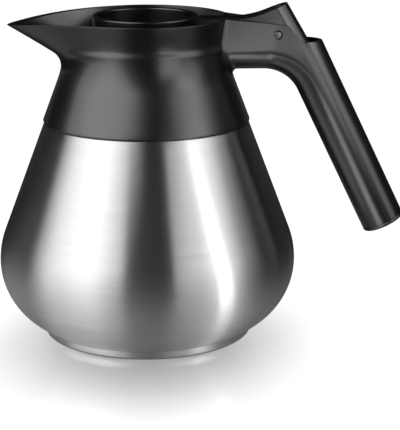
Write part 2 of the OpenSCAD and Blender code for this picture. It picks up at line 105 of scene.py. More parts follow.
floor_paint, node = new_finish("floor_paint")
where = node("ShaderNodeTexCoord")
oval = node("ShaderNodeVectorMath", {0: where.outputs["Object"], 1: (1.3, 1, 1)}, operation="MULTIPLY")
away = node("ShaderNodeVectorMath", {0: oval.outputs[0], 1: (0, -0.035, 0)}, operation="DISTANCE")
# Painted shadow: the table's glow falls off towards the object, darkest near its foot and just in front of it
shade = node("ShaderNodeMapRange", {
    "Value": away.outputs["Value"], "From Min": 0.03, "From Max": 0.15, "To Min": 0.28, "To Max": 1.0,
}, interpolation_type="SMOOTHSTEP")
ray = node("ShaderNodeLightPath")
mirrored = node("ShaderNodeMath", {0: ray.outputs["Is Glossy Ray"], 1: share_in_mirrors},
                operation="MULTIPLY")
seen = node("ShaderNodeMath", {0: ray.outputs["Is Camera Ray"], 1: mirrored.outputs[0]}, operation="MAXIMUM")
clear = node("ShaderNodeMath", {0: seen.outputs[0], 1: ray.outputs["Is Transmission Ray"]},
             operation="MAXIMUM")
# The glow with its painted shadow counts fully for the camera and faintly in reflections
glow_with_painted_shadow = node("ShaderNodeMath", {0: clear.outputs[0], 1: shade.outputs[0]}, operation="MULTIPLY")
show(node, node("ShaderNodeBsdfPrincipled", {
    "Base Color": (0.28, 0.28, 0.28, 1), "Roughness": 0.14, "IOR": 2.0,
    "Emission Color": white, "Emission Strength": glow_with_painted_shadow.outputs[0],
}))
stage_plane("floor", [(-4, -4, 0), (4, -4, 0), (4, 4, 0), (-4, 4, 0)], floor_paint)

card_black, node = new_finish("card_black")
show(node, node("ShaderNodeBsdfPrincipled", {
    "Base Color": (0.03, 0.03, 0.03, 1), "Roughness": 0.15, "Specular IOR Level": 0.6,
}))


def lit_paper(name, strength):
    paper, node = new_finish(name)
    show(node, node("ShaderNodeEmission", {"Color": white, "Strength": strength}))
    return paper


def card(name, corners, finish):
    """A card that is left out of the picture and casts no shadow: only reflections show it."""
    plane = stage_plane(name, corners, finish)
    plane.visible_camera = plane.visible_diffuse = plane.visible_shadow = False


def lying(z, *corners):
    return [(x, y, z) for x, y in corners]


def standing(y, *corners):
    return [(x, y, z) for x, z in corners]


card("card_front", lying(0.001, (-1.5, -1.2), (1.5, -1.2), (1.5, -0.17), (-1.5, -0.17)), card_black)
card("card_low_left", lying(0.001, (-1.5, -0.17), (-0.32, -0.17), (-0.32, 0.17), (-1.5, 0.17)), card_black)
card("card_low_right", lying(0.001, (0.14, -0.17), (1.5, -0.17), (1.5, 0.17), (0.18, 0.17)), card_black)
card("card_behind", lying(0.001, (-1.5, 0.17), (1.5, 0.17), (1.5, 1.3), (-1.5, 1.3)), card_black)
card("card_small", standing(-0.20, (-0.05, 0.08), (0.068, 0.08), (0.068, 0.195), (-0.05, 0.195)), card_black)
card("card_grip", standing(-0.10, (0.088, 0.001), (0.144, 0.001), (0.103, 0.115), (0.068, 0.115)),
     lit_paper("card_grip", 2.4))
card("card_belly", lying(0.002, (-0.32, -0.172), (-0.09, -0.172), (-0.115, 0.10), (-0.32, 0.10)),
     lit_paper("card_belly", 0.35))
card("card_belly_front", lying(0.002, (-0.32, -0.30), (-0.16, -0.30), (-0.085, -0.172), (-0.32, -0.172)),
     lit_paper("card_belly_front", 0.4))
card("card_handle", standing(-0.30, (0.08, 0.11), (0.33, 0.11), (0.33, 0.215), (0.08, 0.215)),
     lit_paper("card_handle", 2.0))


def softbox(name, azimuth, distance, low, high, width, radiance):
    """An upright rectangular lamp at an azimuth counted from the camera's side towards the handle."""
    lamp = bpy.data.lights.new(name, "AREA")
    lamp.shape = "RECTANGLE"
    lamp.size = width
    lamp.size_y = high - low
    lamp.energy = radiance * pi * width * (high - low)
    box = put_in_scene(name, lamp)
    box.location = (distance * sin(radians(azimuth)), -distance * cos(radians(azimuth)), (low + high) / 2)
    facing = Vector((-box.location.x, -box.location.y, 0))
    box.rotation_euler = facing.to_track_quat("-Z", "Z").to_euler()


softbox("softbox_left", -51, 1.0, 0.13, 1.60, 1.96, 1.5)
softbox("softbox_left_core", -52, 0.99, 0.30, 1.50, 1.20, 0.8)
softbox("softbox_right", 68, 1.0, 0.26, 1.60, 1.00, 1.3)
softbox("softbox_right_core", 62, 0.98, 0.13, 0.60, 0.56, 1.2)

# The room is white to the camera and dark in the steel
room = bpy.data.worlds.new("room")
bpy.context.scene.world = room
room.use_nodes = True
room.node_tree.nodes.clear()
node = node_maker(room.node_tree)
ray = node("ShaderNodeLightPath")
seen = node("ShaderNodeMath", {0: ray.outputs["Is Camera Ray"], 1: ray.outputs["Is Transmission Ray"]},
            operation="MAXIMUM")
brightness = node("ShaderNodeMapRange", {"Value": seen.outputs[0], "To Min": 0.02})
walls = node("ShaderNodeBackground", {"Color": white, "Strength": brightness.outputs[0]})
node("ShaderNodeOutputWorld", {"Surface": walls.outputs[0]})


# ---------------------------------------------------------------------------------------------
# Inner liner: deep-drawn stainless sheet, 0.7 mm thick, that holds the coffee. Its neck is welded
# to the outer shell's lip, and the space between the two is pumped empty.
# ---------------------------------------------------------------------------------------------
MM = 0.001
body_r = 85.0
belly_z = 42.8
upper_arc_r = 47.5
front_r = 46.4
waist_arc_r = 57.0
waist_z = 167.0
collar_proud = 1.1
foot_r = 60.0
body_edge_z = 6.5
edge_step = 3.05
shell_t = 0.8
liner_t = 0.7
vacuum_gap = 5.0
joint_gap = 0.1
lip_z = 160.8
neck_r = 38.2
neck_gap = 1.2
flange_t = 2.4
flange_z = lip_z - 3.8
shoulder_z = flange_z - flange_t - joint_gap
liner_neck_r = neck_r - shell_t - neck_gap

# The straight cone touches the belly's arc below it and the waist's arc above it
belly_c = (body_r - upper_arc_r, belly_z)
span = np.array([front_r + waist_arc_r - collar_proud - belly_c[0], waist_z - belly_z])
cone_lean = atan2(span[1], span[0]) - acos((upper_arc_r + waist_arc_r) / np.hypot(*span))
cone_z = belly_z + upper_arc_r * sin(cone_lean)
cone_r = body_r - upper_arc_r * (1 - cos(cone_lean))

# The arc under the belly ends at the body's lower edge
edge_r = foot_r + edge_step
edge_fall = belly_z - body_edge_z
lower_arc_r = ((body_r - edge_r) ** 2 + edge_fall ** 2) / (body_r - edge_r) / 2
lower_c = (body_r - lower_arc_r, belly_z)


def cone_at(z):
    return cone_r - (z - cone_z) * tan(cone_lean)


def arc(c, r, start, end, steps):
    """Points on a circle in the X-Z half-plane, between two angles in degrees."""
    turns = [radians(start + (end - start) * i / steps) for i in range(steps + 1)]
    return [(c[0] + r * cos(a), c[1] + r * sin(a)) for a in turns]


def corner(before, here, after, r, steps=8):
    """The arc of radius r that rounds a corner of a path, from the points before and after it."""
    before, here, after = (np.array(p, float) for p in (before, here, after))
    back_length, on_length = np.linalg.norm(before - here), np.linalg.norm(after - here)
    back, on = (before - here) / back_length, (after - here) / on_length
    half = acos(float(np.clip(back @ on, -1, 1))) / 2
    r = min(r, 0.98 * tan(half) * min(back_length, on_length))
    middle = here + (back + on) / np.linalg.norm(back + on) * r / sin(half)
    start = here + back * r / tan(half) - middle
    end = here + on * r / tan(half) - middle
    turn = atan2(start[0] * end[1] - start[1] * end[0], start @ end)
    across = np.array([-start[1], start[0]])
    return [tuple(middle + start * cos(turn * i / steps) + across * sin(turn * i / steps))
            for i in range(steps + 1)]


def bends(path, rounds):
    """The arcs at a path's inner corners, each with its own radius and steps."""
    line = []
    for before, here, after, (r, steps) in zip(path, path[1:], path[2:], rounds):
        line += corner(before, here, after, r, steps)
    return line


def softened(points, r, steps=3):
    """A closed outline with each corner off the axis rounded."""
    rounded = []
    for i, p in enumerate(points):
        before, after = points[i - 1], points[(i + 1) % len(points)]
        if p[0] < 0.01:
            rounded.append(p)
        else:
            shorter = min(hypot(before[0] - p[0], before[1] - p[1]), hypot(after[0] - p[0], after[1] - p[1]))
            rounded += corner(before, p, after, min(r, 0.4 * shorter), steps)
    return rounded


def sheet(points, t, side=1):
    """A sheet's outline: the path out, and back along its mitred offset."""
    p = np.array(points, float)
    step = np.diff(p, axis=0)
    step /= np.linalg.norm(step, axis=1)[:, None]
    normal = np.stack([-step[:, 1], step[:, 0]], 1)
    first, last = np.vstack([normal[:1], normal]), np.vstack([normal, normal[-1:]])
    mitre = first + last
    mitre /= np.linalg.norm(mitre, axis=1)[:, None]
    back = p + side * t * mitre / np.sum(mitre * last, axis=1)[:, None]
    return [tuple(q) for q in p] + [tuple(q) for q in back[::-1]]


def turning_tree():
    """Turns the modified object's points, an outline in the X-Z half-plane, once round the Z axis."""
    tree = bpy.data.node_groups.new("turned_on_axis", "GeometryNodeTree")
    for label, kind in (("Outline", "Geometry"), ("Steps round", "Int"), ("Finish", "Material")):
        tree.interface.new_socket(label, in_out="INPUT", socket_type="NodeSocket" + kind)
    tree.interface.new_socket("Turned piece", in_out="OUTPUT", socket_type="NodeSocketGeometry")
    node = node_maker(tree)

    def reckon(how, a, b=0.0, c=0.0):
        return node("ShaderNodeMath", {0: a, 1: b, 2: c}, operation=how).outputs[0]

    given = node("NodeGroupInput")
    counted = node("GeometryNodeAttributeDomainSize", {0: given.outputs["Outline"]}, component="MESH")
    count = counted.outputs["Point Count"]
    grid = node("GeometryNodeMeshGrid", {
        "Size X": 1, "Size Y": 1, "Vertices X": reckon("ADD", count, 1),
        "Vertices Y": reckon("ADD", given.outputs["Steps round"], 1),
    })
    place = node("GeometryNodeInputPosition").outputs[0]
    on_grid = node("ShaderNodeSeparateXYZ", {0: place})
    column = reckon("ROUND", reckon("MULTIPLY", reckon("ADD", on_grid.outputs["X"], 0.5), count))
    picked = node("GeometryNodeSampleIndex", {
        "Geometry": given.outputs["Outline"], "Value": place, "Index": reckon("MODULO", column, count),
    }, data_type="FLOAT_VECTOR", domain="POINT")
    turn = reckon("MULTIPLY_ADD", on_grid.outputs["Y"], 2 * pi, pi)
    spun = node("ShaderNodeVectorRotate", {"Vector": picked.outputs[0], "Angle": turn},
                rotation_type="Z_AXIS")
    moved = node("GeometryNodeSetPosition", {"Geometry": grid.outputs["Mesh"], "Position": spun.outputs[0]})
    closed = node("GeometryNodeMergeByDistance", {"Geometry": moved.outputs[0], "Distance": 2e-6})
    real = node("GeometryNodeRealizeInstances", {0: closed.outputs[0]})
    finished = node("GeometryNodeSetMaterial",
                    {"Geometry": real.outputs[0], "Material": given.outputs["Finish"]})
    node("NodeGroupOutput", {0: finished.outputs[0]})
    return tree


turned_on_axis = turning_tree()


def plain_copy(source, name):
    """The evaluated object as a plain mesh of its own; the source goes."""
    graph = bpy.context.evaluated_depsgraph_get()
    mesh = bpy.data.meshes.new_from_object(source.evaluated_get(graph))
    bpy.data.objects.remove(source)
    mesh.name = name
    finish = [material for material in mesh.materials if material][-1]
    mesh.materials.clear()
    mesh.materials.append(finish)
    return put_in_scene(name, mesh)


def creased(piece, sharp):
    """Smooth shading, with creases where faces meet at more than the sharp angle."""
    piece.data.shade_smooth()
    piece.data.set_sharp_from_angle(angle=radians(sharp))


def turned(name, outline, finish, steps=160):
    """A piece turned from an outline of radii and heights in millimetres."""
    mesh = bpy.data.meshes.new(name + "_outline")
    mesh.from_pydata([(x * MM, 0, z * MM) for x, z in outline], [], [])
    blank = put_in_scene(name + "_outline", mesh)
    modifier = blank.modifiers.new("turned", "NODES")
    modifier.node_group = turned_on_axis
    for item in turned_on_axis.interface.items_tree:
        if item.name == "Steps round":
            modifier[item.identifier] = steps
        if item.name == "Finish":
            modifier[item.identifier] = finish
    piece = plain_copy(blank, name)
    work = bmesh.new()
    work.from_mesh(piece.data)
    bmesh.ops.dissolve_degenerate(work, edges=work.edges, dist=1e-6)
    bmesh.ops.recalc_face_normals(work, faces=work.faces)
    work.to_mesh(piece.data)
    work.free()
    creased(piece, 35)
    return piece


def stands_for(piece, cad_node, body):
    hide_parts(cad_node)
    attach(piece, body)


def brushed(name, colour, roughness, streak, anisotropy):
    """Steel brushed round the axis: fine streaks that differ with height, and a reflection drawn upwards."""
    steel, node = new_finish(name)
    where = node("ShaderNodeTexCoord")
    fine = node("ShaderNodeMapping", {"Vector": where.outputs["Object"], "Scale": (26, 26, 2600)})
    broad = node("ShaderNodeMapping", {"Vector": where.outputs["Object"], "Scale": (9, 9, 620)})
    hair = node("ShaderNodeTexNoise", {"Vector": fine.outputs[0], "Scale": 1, "Detail": 3, "Roughness": 0.6})
    band = node("ShaderNodeTexNoise", {"Vector": broad.outputs[0], "Scale": 1, "Detail": 2, "Roughness": 0.5})
    both = node("ShaderNodeMath", {0: hair.outputs["Fac"], 1: band.outputs["Fac"]}, operation="ADD")

    def varied(value, change):
        return node("ShaderNodeMapRange", {
            "Value": both.outputs[0], "From Min": 0.6, "From Max": 1.4,
            "To Min": value - change, "To Max": value + change,
        })

    tone = varied(1, streak)
    tint = node("ShaderNodeMix", {"Factor": 1.0, 6: colour, 7: tone.outputs[0]},
                data_type="RGBA", blend_type="MULTIPLY")
    along = node("ShaderNodeTangent", direction_type="RADIAL", axis="Z")
    show(node, node("ShaderNodeBsdfPrincipled", {
        "Base Color": tint.outputs[2], "Metallic": 1.0, "Roughness": varied(roughness, 0.04).outputs[0],
        "Tangent": along.outputs[0], "Anisotropic": anisotropy, "Anisotropic Rotation": 0.25,
    }))
    return steel


liner_steel = brushed("liner_steel", (0.62, 0.61, 0.60, 1), 0.34, 0.05, 0.4)

wall = shell_t + vacuum_gap
liner_floor_z = 11.8
floor_round_r = 14.0
lower_r = lower_arc_r - wall
round_z = liner_floor_z + floor_round_r
round_x = lower_c[0] + sqrt((lower_r - floor_round_r) ** 2 - (belly_z - round_z) ** 2)
meet = degrees(atan2(round_z - belly_z, round_x - lower_c[0]))
liner_top_z = shoulder_z - shell_t - 3.5
liner_top_r = cone_at(liner_top_z) - wall / cos(cone_lean)
liner_neck = [(cone_at(cone_z) - wall / cos(cone_lean), cone_z), (liner_top_r, liner_top_z),
              (liner_neck_r, liner_top_z), (liner_neck_r, lip_z)]
liner_path = ([(0, liner_floor_z)]
              + arc((round_x, round_z), floor_round_r, -90, meet, 12)
              + arc(lower_c, lower_r, meet + 2, 0, 20)
              + arc(belly_c, upper_arc_r - wall, 2, degrees(cone_lean), 12)
              + bends(liner_neck, [(2.5, 8), (1.4, 8)])
              + [(liner_neck_r, lip_z)])
liner = turned("inner_liner_sheet", sheet(liner_path, liner_t), liner_steel)
stands_for(liner, "inner_liner", "carafe")


# ---------------------------------------------------------------------------------------------
# Getter and pump-out tip: the tablet that soaks up stray gas in the vacuum, and the brazed bead
# that closes the hole through which the space was pumped. Both keep the shape of their solids.
# ---------------------------------------------------------------------------------------------
def mottle(node, scale, detail):
    """A fine noise that stays with the piece."""
    where = node("ShaderNodeTexCoord")
    return node("ShaderNodeTexNoise", {"Vector": where.outputs["Object"], "Scale": scale, "Detail": detail})


getter_metal, node = new_finish("getter_metal")
grain = mottle(node, 900, 4)
shade = node("ShaderNodeMapRange", {"Value": grain.outputs["Fac"], "To Min": 0.28, "To Max": 0.45})
pitted = node("ShaderNodeBump", {"Height": grain.outputs["Fac"], "Strength": 0.4, "Distance": 0.0001})
show(node, node("ShaderNodeBsdfPrincipled", {
    "Base Color": shade.outputs[0], "Metallic": 1.0, "Roughness": 0.5, "Normal": pitted.outputs[0],
}))

for cad_node in ("getter", "pump_tip_seal"):
    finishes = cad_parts[cad_node].data.materials
    finishes.clear()
    finishes.append(getter_metal)


# ---------------------------------------------------------------------------------------------
# Outer shell: spun stainless sheet, brushed round its axis on a lathe. It is joggled in under the
# collar, drawn in to a neck at the top, and hemmed in over the foot ring at the bottom.
# ---------------------------------------------------------------------------------------------
collar_z = 123.4
collar_t = 2.4
seat_gap = 0.3
hem_z = body_edge_z - 0.8
joggle_z = collar_z - seat_gap
edge_angle = degrees(asin(edge_fall / lower_arc_r))


def under_collar(z):
    """The shell's radius and height where the collar's skirt covers it."""
    return cone_at(z) + collar_proud - collar_t / cos(cone_lean) - seat_gap, z


shell_steel = brushed("shell_steel", (0.80, 0.79, 0.78, 1), 0.38, 0.05, 1.0)
shell_hem = [(foot_r + joint_gap, hem_z), (edge_r - 0.55, hem_z), (edge_r + 1.0, body_edge_z + 1.5)]
cone_heights = [cone_z + (collar_z - cone_z) * i / 14 for i in range(1, 14)]
joggle = [(cone_at(collar_z - 2), collar_z - 2), (cone_at(joggle_z), joggle_z), under_collar(joggle_z)]
shell_neck = [under_collar(collar_z), under_collar(shoulder_z), (neck_r, shoulder_z), (neck_r, lip_z),
              (liner_neck_r, lip_z)]
shell_path = (shell_hem[:1]
              + bends(shell_hem, [(0.7, 5)])
              + arc(lower_c, lower_arc_r, 1.5 - edge_angle, 0, 60)
              + arc(belly_c, upper_arc_r, 1, degrees(cone_lean), 20)
              + [(cone_at(z), z) for z in cone_heights]
              + bends(joggle, [(0.25, 3)])
              + joggle[-1:]
              + bends(shell_neck, [(4, 8), (1.6, 8), (1.1, 5)])
              + [(liner_neck_r + joint_gap, lip_z)])
shell = turned("outer_shell_sheet", sheet(shell_path, shell_t), shell_steel, 256)
stands_for(shell, "outer_shell", "carafe")


# ---------------------------------------------------------------------------------------------
# Base pan: a pressed stainless pan whose rolled rim is the ring that the carafe stands on. It is
# welded inside the shell's lower hem.
# ---------------------------------------------------------------------------------------------
base_recess = 4.0
bead_r = foot_r - 5.0
foot_steel = brushed("foot_steel", (0.78, 0.77, 0.76, 1), 0.34, 0.05, 0.7)
pan_bead = [(foot_r, body_edge_z), (foot_r, 0), (bead_r, 0), (bead_r, base_recess), (0, base_recess)]
pan_path = ([(foot_r, body_edge_z + 2.5)]
            + bends(pan_bead, [(1.7, 8), (1.7, 8), (0.6, 4)])
            + [(2.0, base_recess)])
pan = turned("base_pan_sheet", sheet(pan_path, shell_t, -1), foot_steel, 200)
stands_for(pan, "base_pan", "carafe")


# ---------------------------------------------------------------------------------------------
# Base disc: a disc of black moulded plastic, glued into the recess so that the pump-out tip can't
# be knocked. A low rim stiffens it.
# ---------------------------------------------------------------------------------------------
def moulded(name, tone, roughness, grain_scale, grain_depth):
    """Black moulded plastic with a fine spark-eroded grain and slightly uneven gloss."""
    plastic, node = new_finish(name)
    spark = mottle(node, grain_scale, 2)
    flow = mottle(node, 35, 2)

    def varied(low, high):
        return node("ShaderNodeMapRange", {
            "Value": flow.outputs["Fac"], "From Min": 0.3, "From Max": 0.7, "To Min": low, "To Max": high,
        }).outputs[0]

    relief = node("ShaderNodeBump",
                  {"Height": spark.outputs["Fac"], "Strength": 0.12, "Distance": grain_depth})
    show(node, node("ShaderNodeBsdfPrincipled", {
        "Base Color": varied(tone * 0.92, tone * 1.08),
        "Roughness": varied(roughness - 0.02, roughness + 0.02),
        "Normal": relief.outputs[0], "Specular IOR Level": 1.0,
        "Coat Weight": 0.25, "Coat Roughness": 0.2, "Coat IOR": 1.5,
    }))
    return plastic


collar_black = moulded("collar_black", 0.0015, 0.30, 2600, 0.00006)
disc_r = bead_r - seat_gap
disc_rim_r = disc_r - 4
disc_top_z = base_recess - joint_gap
disc_low_z = disc_top_z - 2.6
disc_outline = [(0, disc_low_z), (disc_r, disc_low_z), (disc_r, disc_top_z), (disc_rim_r, disc_top_z),
                (disc_rim_r, disc_top_z - 1), (0, disc_top_z - 1)]
disc = turned("base_disc_moulding", softened(disc_outline, 0.5), collar_black)
stands_for(disc, "base_disc", "carafe")


# ---------------------------------------------------------------------------------------------
# Neck gasket and collar O-ring: silicone rings. The gasket lies on the vessel's welded lip, and the
# O-ring sits in the mouth ring's groove and seals it against the collar's wall.
# ---------------------------------------------------------------------------------------------
ring_under_z = lip_z + 1.4
land_z = ring_under_z + 2.6
floor_z = land_z - 1.3
seat_r = front_r - collar_t - 0.35
oring_r = 0.9
oring_gap = 0.2
oring_z = (flange_z + floor_z) / 2

soft_silicone, node = new_finish("soft_silicone")
bloom = mottle(node, 120, 3)
shade = node("ShaderNodeMapRange", {"Value": bloom.outputs["Fac"], "To Min": 0.05, "To Max": 0.08})
show(node, node("ShaderNodeBsdfPrincipled", {
    "Base Color": shade.outputs[0], "Roughness": 0.55,
    "Subsurface Weight": 0.1, "Subsurface Scale": 0.001,
}))


def silicone_ring(name, inner_r, outer_r, low, high, edge):
    """A moulded ring of square section with softened edges."""
    outline = [(inner_r, low), (outer_r, low), (outer_r, high), (inner_r, high)]
    return turned(name, softened(outline, edge), soft_silicone)


gasket = silicone_ring("neck_gasket_ring", liner_neck_r - liner_t, neck_r,
                       lip_z + joint_gap / 2, ring_under_z - joint_gap / 2, 0.25)
stands_for(gasket, "neck_gasket", "carafe")

oring_section = arc((seat_r - oring_r - oring_gap, oring_z), oring_r, 0, 345, 23)
oring = turned("collar_oring_ring", oring_section, soft_silicone)
stands_for(oring, "collar_oring", "carafe")


# ---------------------------------------------------------------------------------------------
# Mouth ring: a black moulding that screws down on the steel neck, presses the gasket on the lip
# and clamps the collar's inner flange on the shoulder. The lid's seal closes on its raised land.
# ---------------------------------------------------------------------------------------------
mouth_r = 34.6
land_w = 3.6
sleeve_r = neck_r + seat_gap
skirt_r = liner_neck_r - liner_t - seat_gap
skirt_z = lip_z - 3
ring_out_r = seat_r - seat_gap
ring_low_z = flange_z + joint_gap
groove_r = seat_r - 2 * oring_r - oring_gap - joint_gap
groove_low_z = oring_z - oring_r - 0.15
groove_top_z = oring_z + oring_r + 0.15
mouth_ring_outline = [
    (sleeve_r, ring_low_z), (ring_out_r, ring_low_z), (ring_out_r, groove_low_z), (groove_r, groove_low_z),
    (groove_r, groove_top_z), (ring_out_r, groove_top_z), (ring_out_r, floor_z),
    (mouth_r + land_w, land_z), (mouth_r, land_z), (mouth_r, skirt_z),
    (skirt_r, skirt_z), (skirt_r, ring_under_z), (sleeve_r, ring_under_z),
]
mouth_ring = turned("mouth_ring_moulding", softened(mouth_ring_outline, 0.3), collar_black)
stands_for(mouth_ring, "mouth_ring", "carafe")


# ---------------------------------------------------------------------------------------------
# Collar: one black moulding with a conical skirt over the steel, a waist, and a wall drawn out to a
# pouring spout. The handle's bracket, elbow and tube grip are moulded on behind, and the mouth ring
# clamps its inner flange.
# ---------------------------------------------------------------------------------------------
rim_z = 182.5
rim_flare = 0.7
spout_reach = 78.0
spout_tip_z = 177.8
spout_rise = radians(30)
spout_spread = radians(75)
bend_r = 9.4
tip_r = 9.0
lip_round = 1.1
lip_proud = 0.35
edge_round = 0.3
waist_x = front_r + waist_arc_r
waist_low_z = waist_z - waist_arc_r * sin(cone_lean)

# The bend under the spout joins the waist's arc to the spout's straight underside
rise = np.array([cos(spout_rise), sin(spout_rise)])
to_bend = np.array([spout_reach + bend_r * sin(spout_rise) - waist_x,
                    spout_tip_z - bend_r * cos(spout_rise) - waist_z])
slide = -to_bend @ rise - sqrt((to_bend @ rise) ** 2 - to_bend @ to_bend + (waist_arc_r - bend_r) ** 2)
bend_c = np.array([waist_x, waist_z]) + to_bend + slide * rise
bend_drop = (waist_z - bend_c[1]) / (waist_arc_r - bend_r)
neck_low_z = bend_c[1] - bend_drop * (bend_r + collar_t) - 0.5


def eased(t):
    """A smooth step from 0 to 1."""
    t = min(1.0, max(0.0, t))
    return t * t * (3 - 2 * t)


def skin(z, inset=0.0):
    """Radius of the collar's wall at its front and sides at height z, moved inwards by inset."""
    if z < waist_z - (waist_arc_r + inset) * sin(cone_lean):
        return cone_at(z) + collar_proud - inset / cos(cone_lean)
    flute = eased((z - 165.5) / 4) * (1 - eased((z - 170) / 12)) * 0.5
    if z < waist_z:
        return waist_x - sqrt((waist_arc_r + inset) ** 2 - (waist_z - z) ** 2) - flute
    return front_r - inset + rim_flare * ((z - waist_z) / (rim_z - waist_z)) ** 2 - flute


def keel(z, inset=0.0):
    """Reach of the spout's underside at height z."""
    r = bend_r + inset
    line_z = bend_c[1] + r * cos(spout_rise)
    if z > line_z:
        return bend_c[0] - r * sin(spout_rise) + (z - line_z) / tan(spout_rise)
    if z > bend_c[1] - bend_drop * r:
        return bend_c[0] - sqrt(r * r - (z - bend_c[1]) ** 2)
    return skin(z, inset)


def drawn_out(r, reach, tip, a):
    """Polar radius of a circle drawn out to a rounded tip on -X, at angle a from +X."""
    if reach < r + 0.01 or a < pi - spout_spread:
        return r
    tip_c = np.array([tip - reach, 0])
    q = reach - tip
    away = np.array([-cos(spout_spread), sin(spout_spread)])
    fall_back = q * cos(spout_spread)
    side_r = (q * q + r * r - tip * tip - 2 * r * fall_back) / 2 / (r - tip - fall_back)
    side_c = (r - side_r) * away
    end = tip_c + tip * (tip_c - side_c) / np.linalg.norm(tip_c - side_c)
    ray = np.array([cos(a), sin(a)])
    if a < atan2(end[1], end[0]):
        return side_c @ ray + sqrt((side_c @ ray) ** 2 - side_c @ side_c + side_r * side_r)
    return -q * ray[0] + sqrt(max(0.0, q * q * (ray[0] * ray[0] - 1) + tip * tip))


# The angles round the collar lie closer together towards the spout's tip
half_turn = [pi * (1 - (1 - i / 84) ** 1.35) for i in range(85)]
turn_angles = half_turn + [2 * pi - a for a in half_turn[-2:0:-1]]


def spout_line(side_z, tip_z, inset):
    """A line round the collar at height side_z that falls to tip_z at the spout's tip."""
    r = skin(side_z, inset)
    reach = max(keel(tip_z, inset), r)
    drawn = min(1.0, (reach - r) / (spout_reach - front_r - rim_flare))
    tip = r * 0.8 * (1 - drawn) ** 2 + (tip_r - inset) * (1 - (1 - drawn) ** 2)
    line = []
    for a in turn_angles:
        s = drawn_out(r, reach, tip, min(a, 2 * pi - a))
        x, y = s * cos(a), s * sin(a)
        line.append((x, y, side_z - (side_z - tip_z) * (max(0.0, -x) / reach) ** 3))
    return line


def between(low_z, share, inset):
    """The line at a share of the way from a level line at low_z up to the rim."""
    return spout_line(low_z + share * (rim_z - low_z), low_z + share * (spout_tip_z - low_z), inset)


def rim_edge(a, inside):
    """The line at angle a round the rim's small round, on the wall's inside or outside."""
    drop = edge_round * (1 - sin(a))
    inset = edge_round * (1 - cos(a))
    return spout_line(rim_z - drop, spout_tip_z - drop, collar_t - inset if inside else inset)


def level_line(r, z):
    return [(r * cos(a), r * sin(a), z) for a in turn_angles]


def lip_line(a):
    """The line at angle a round the skirt's lower lip."""
    r = skin(collar_z + lip_round) - (lip_round - lip_proud) * (1 - sin(a))
    return level_line(r, collar_z + lip_round * (1 - cos(a)))


def loft(name, lines, finish, looped=False):
    """A closed mesh through closed lines of equally many points, given in millimetres."""
    round_it, count = len(lines[0]), len(lines)
    points = [(x * MM, y * MM, z * MM) for line in lines for x, y, z in line]
    faces = []
    for i in range(count if looped else count - 1):
        here, there = i * round_it, (i + 1) % count * round_it
        for j in range(round_it):
            beside = (j + 1) % round_it
            faces.append((here + j, here + beside, there + beside, there + j))
    if not looped:
        last = (count - 1) * round_it
        faces += [tuple(range(round_it))[::-1], tuple(range(last, last + round_it))]
    mesh = bpy.data.meshes.new(name)
    mesh.from_pydata(points, [], faces)
    mesh.materials.append(finish)
    work = bmesh.new()
    work.from_mesh(mesh)
    bmesh.ops.recalc_face_normals(work, faces=work.faces)
    work.to_mesh(mesh)
    work.free()
    return put_in_scene(name, mesh)


def side_slab(name, outline, half, finish):
    """An outline in X and Z, carried to both sides of the plane of symmetry."""
    return loft(name, [[(x, y, z) for x, z in outline] for y in (-half, half)], finish)


def cut(piece, tool, how="DIFFERENCE"):
    modifier = piece.modifiers.new("cut", "BOOLEAN")
    modifier.operation = how
    modifier.object = tool
    modifier.solver = "MANIFOLD"
    made = plain_copy(piece, piece.name)
    bpy.data.objects.remove(tool)
    return made


flange_low_z = flange_z - flange_t
quarter = [pi / 2 * i / 6 for i in range(7)]
collar_lines = [lip_line(pi / 2 * i / 5) for i in range(6)]
collar_lines += [level_line(skin(z), z) for z in np.linspace(collar_z + lip_round, waist_low_z, 9)[1:]]
collar_lines += [level_line(skin(z), z) for z in np.linspace(waist_low_z, neck_low_z, 15)[1:-1]]
collar_lines += [between(neck_low_z, i / 64, 0) for i in range(64)]
collar_lines += [rim_edge(a, False) for a in quarter]
collar_lines += [rim_edge(a, True) for a in quarter[::-1]]
collar_lines += [between(floor_z, i / 26, collar_t) for i in range(25, -1, -1)]
collar_lines += [level_line(seat_r, floor_z), level_line(seat_r, flange_z)]
collar_lines += [level_line(sleeve_r + 1.2, flange_z), level_line(sleeve_r + 1.2, flange_low_z)]
collar_lines += [level_line(skin(z, collar_t), z) for z in np.linspace(flange_low_z, collar_z, 12)]
collar = loft("collar_moulding", collar_lines, collar_black, looped=True)

# Bracket, elbow and grip
grip_r = 12.2
bore_r = 10.1
grip_lean = radians(25.7)
grip_x = 87.4
grip_len = 113.0
bracket_z = 165.2
root_taper = 0.215
elbow_r = 34.0
mouth_z = 169.2
cap_t = 2.4
pin_x = 73.7
pin_z = 173.4
pin_r = 2.0
top_z = 192.0
elbow_turn = pi / 2 - grip_lean
elbow_x = grip_x - elbow_r * tan(elbow_turn / 2)
elbow_c = np.array([elbow_x, bracket_z - elbow_r])
grip_top = np.array([grip_x, bracket_z])
grip_up = np.array([-sin(grip_lean), cos(grip_lean)])
grip_across = np.array([cos(grip_lean), sin(grip_lean)])


def circle(r, steps):
    return [(r * cos(a), r * sin(a)) for a in np.linspace(0, 2 * pi, steps + 1)[:-1]]


def bracket_half(x):
    """Half the bracket's width at x: it tapers from the collar to the grip."""
    ahead = 70.0 - x
    return grip_r + root_taper * (ahead + sqrt(ahead * ahead + 4)) / 2


def off_collar(p):
    """Distance of a point from the collar's outer wall, and the wall's outward direction there."""
    r = hypot(p[0], p[1])
    slope = (skin(p[2] + 0.05) - skin(p[2] - 0.05)) / 0.1
    fall = 1 / sqrt(1 + slope * slope)
    return (r - skin(p[2])) * fall, np.array([p[0] / r * fall, p[1] / r * fall, -slope * fall])


# Each column runs along the bracket at a height above its axis, or at an angle round its underside
side_heights = [(top_z - bracket_z) * (1 - i / 14) ** 1.2 for i in range(14)]
columns = ([(up, 0.0) for up in side_heights] + [(0.0, pi * i / 40) for i in range(41)]
           + [(up, pi) for up in side_heights[::-1]])


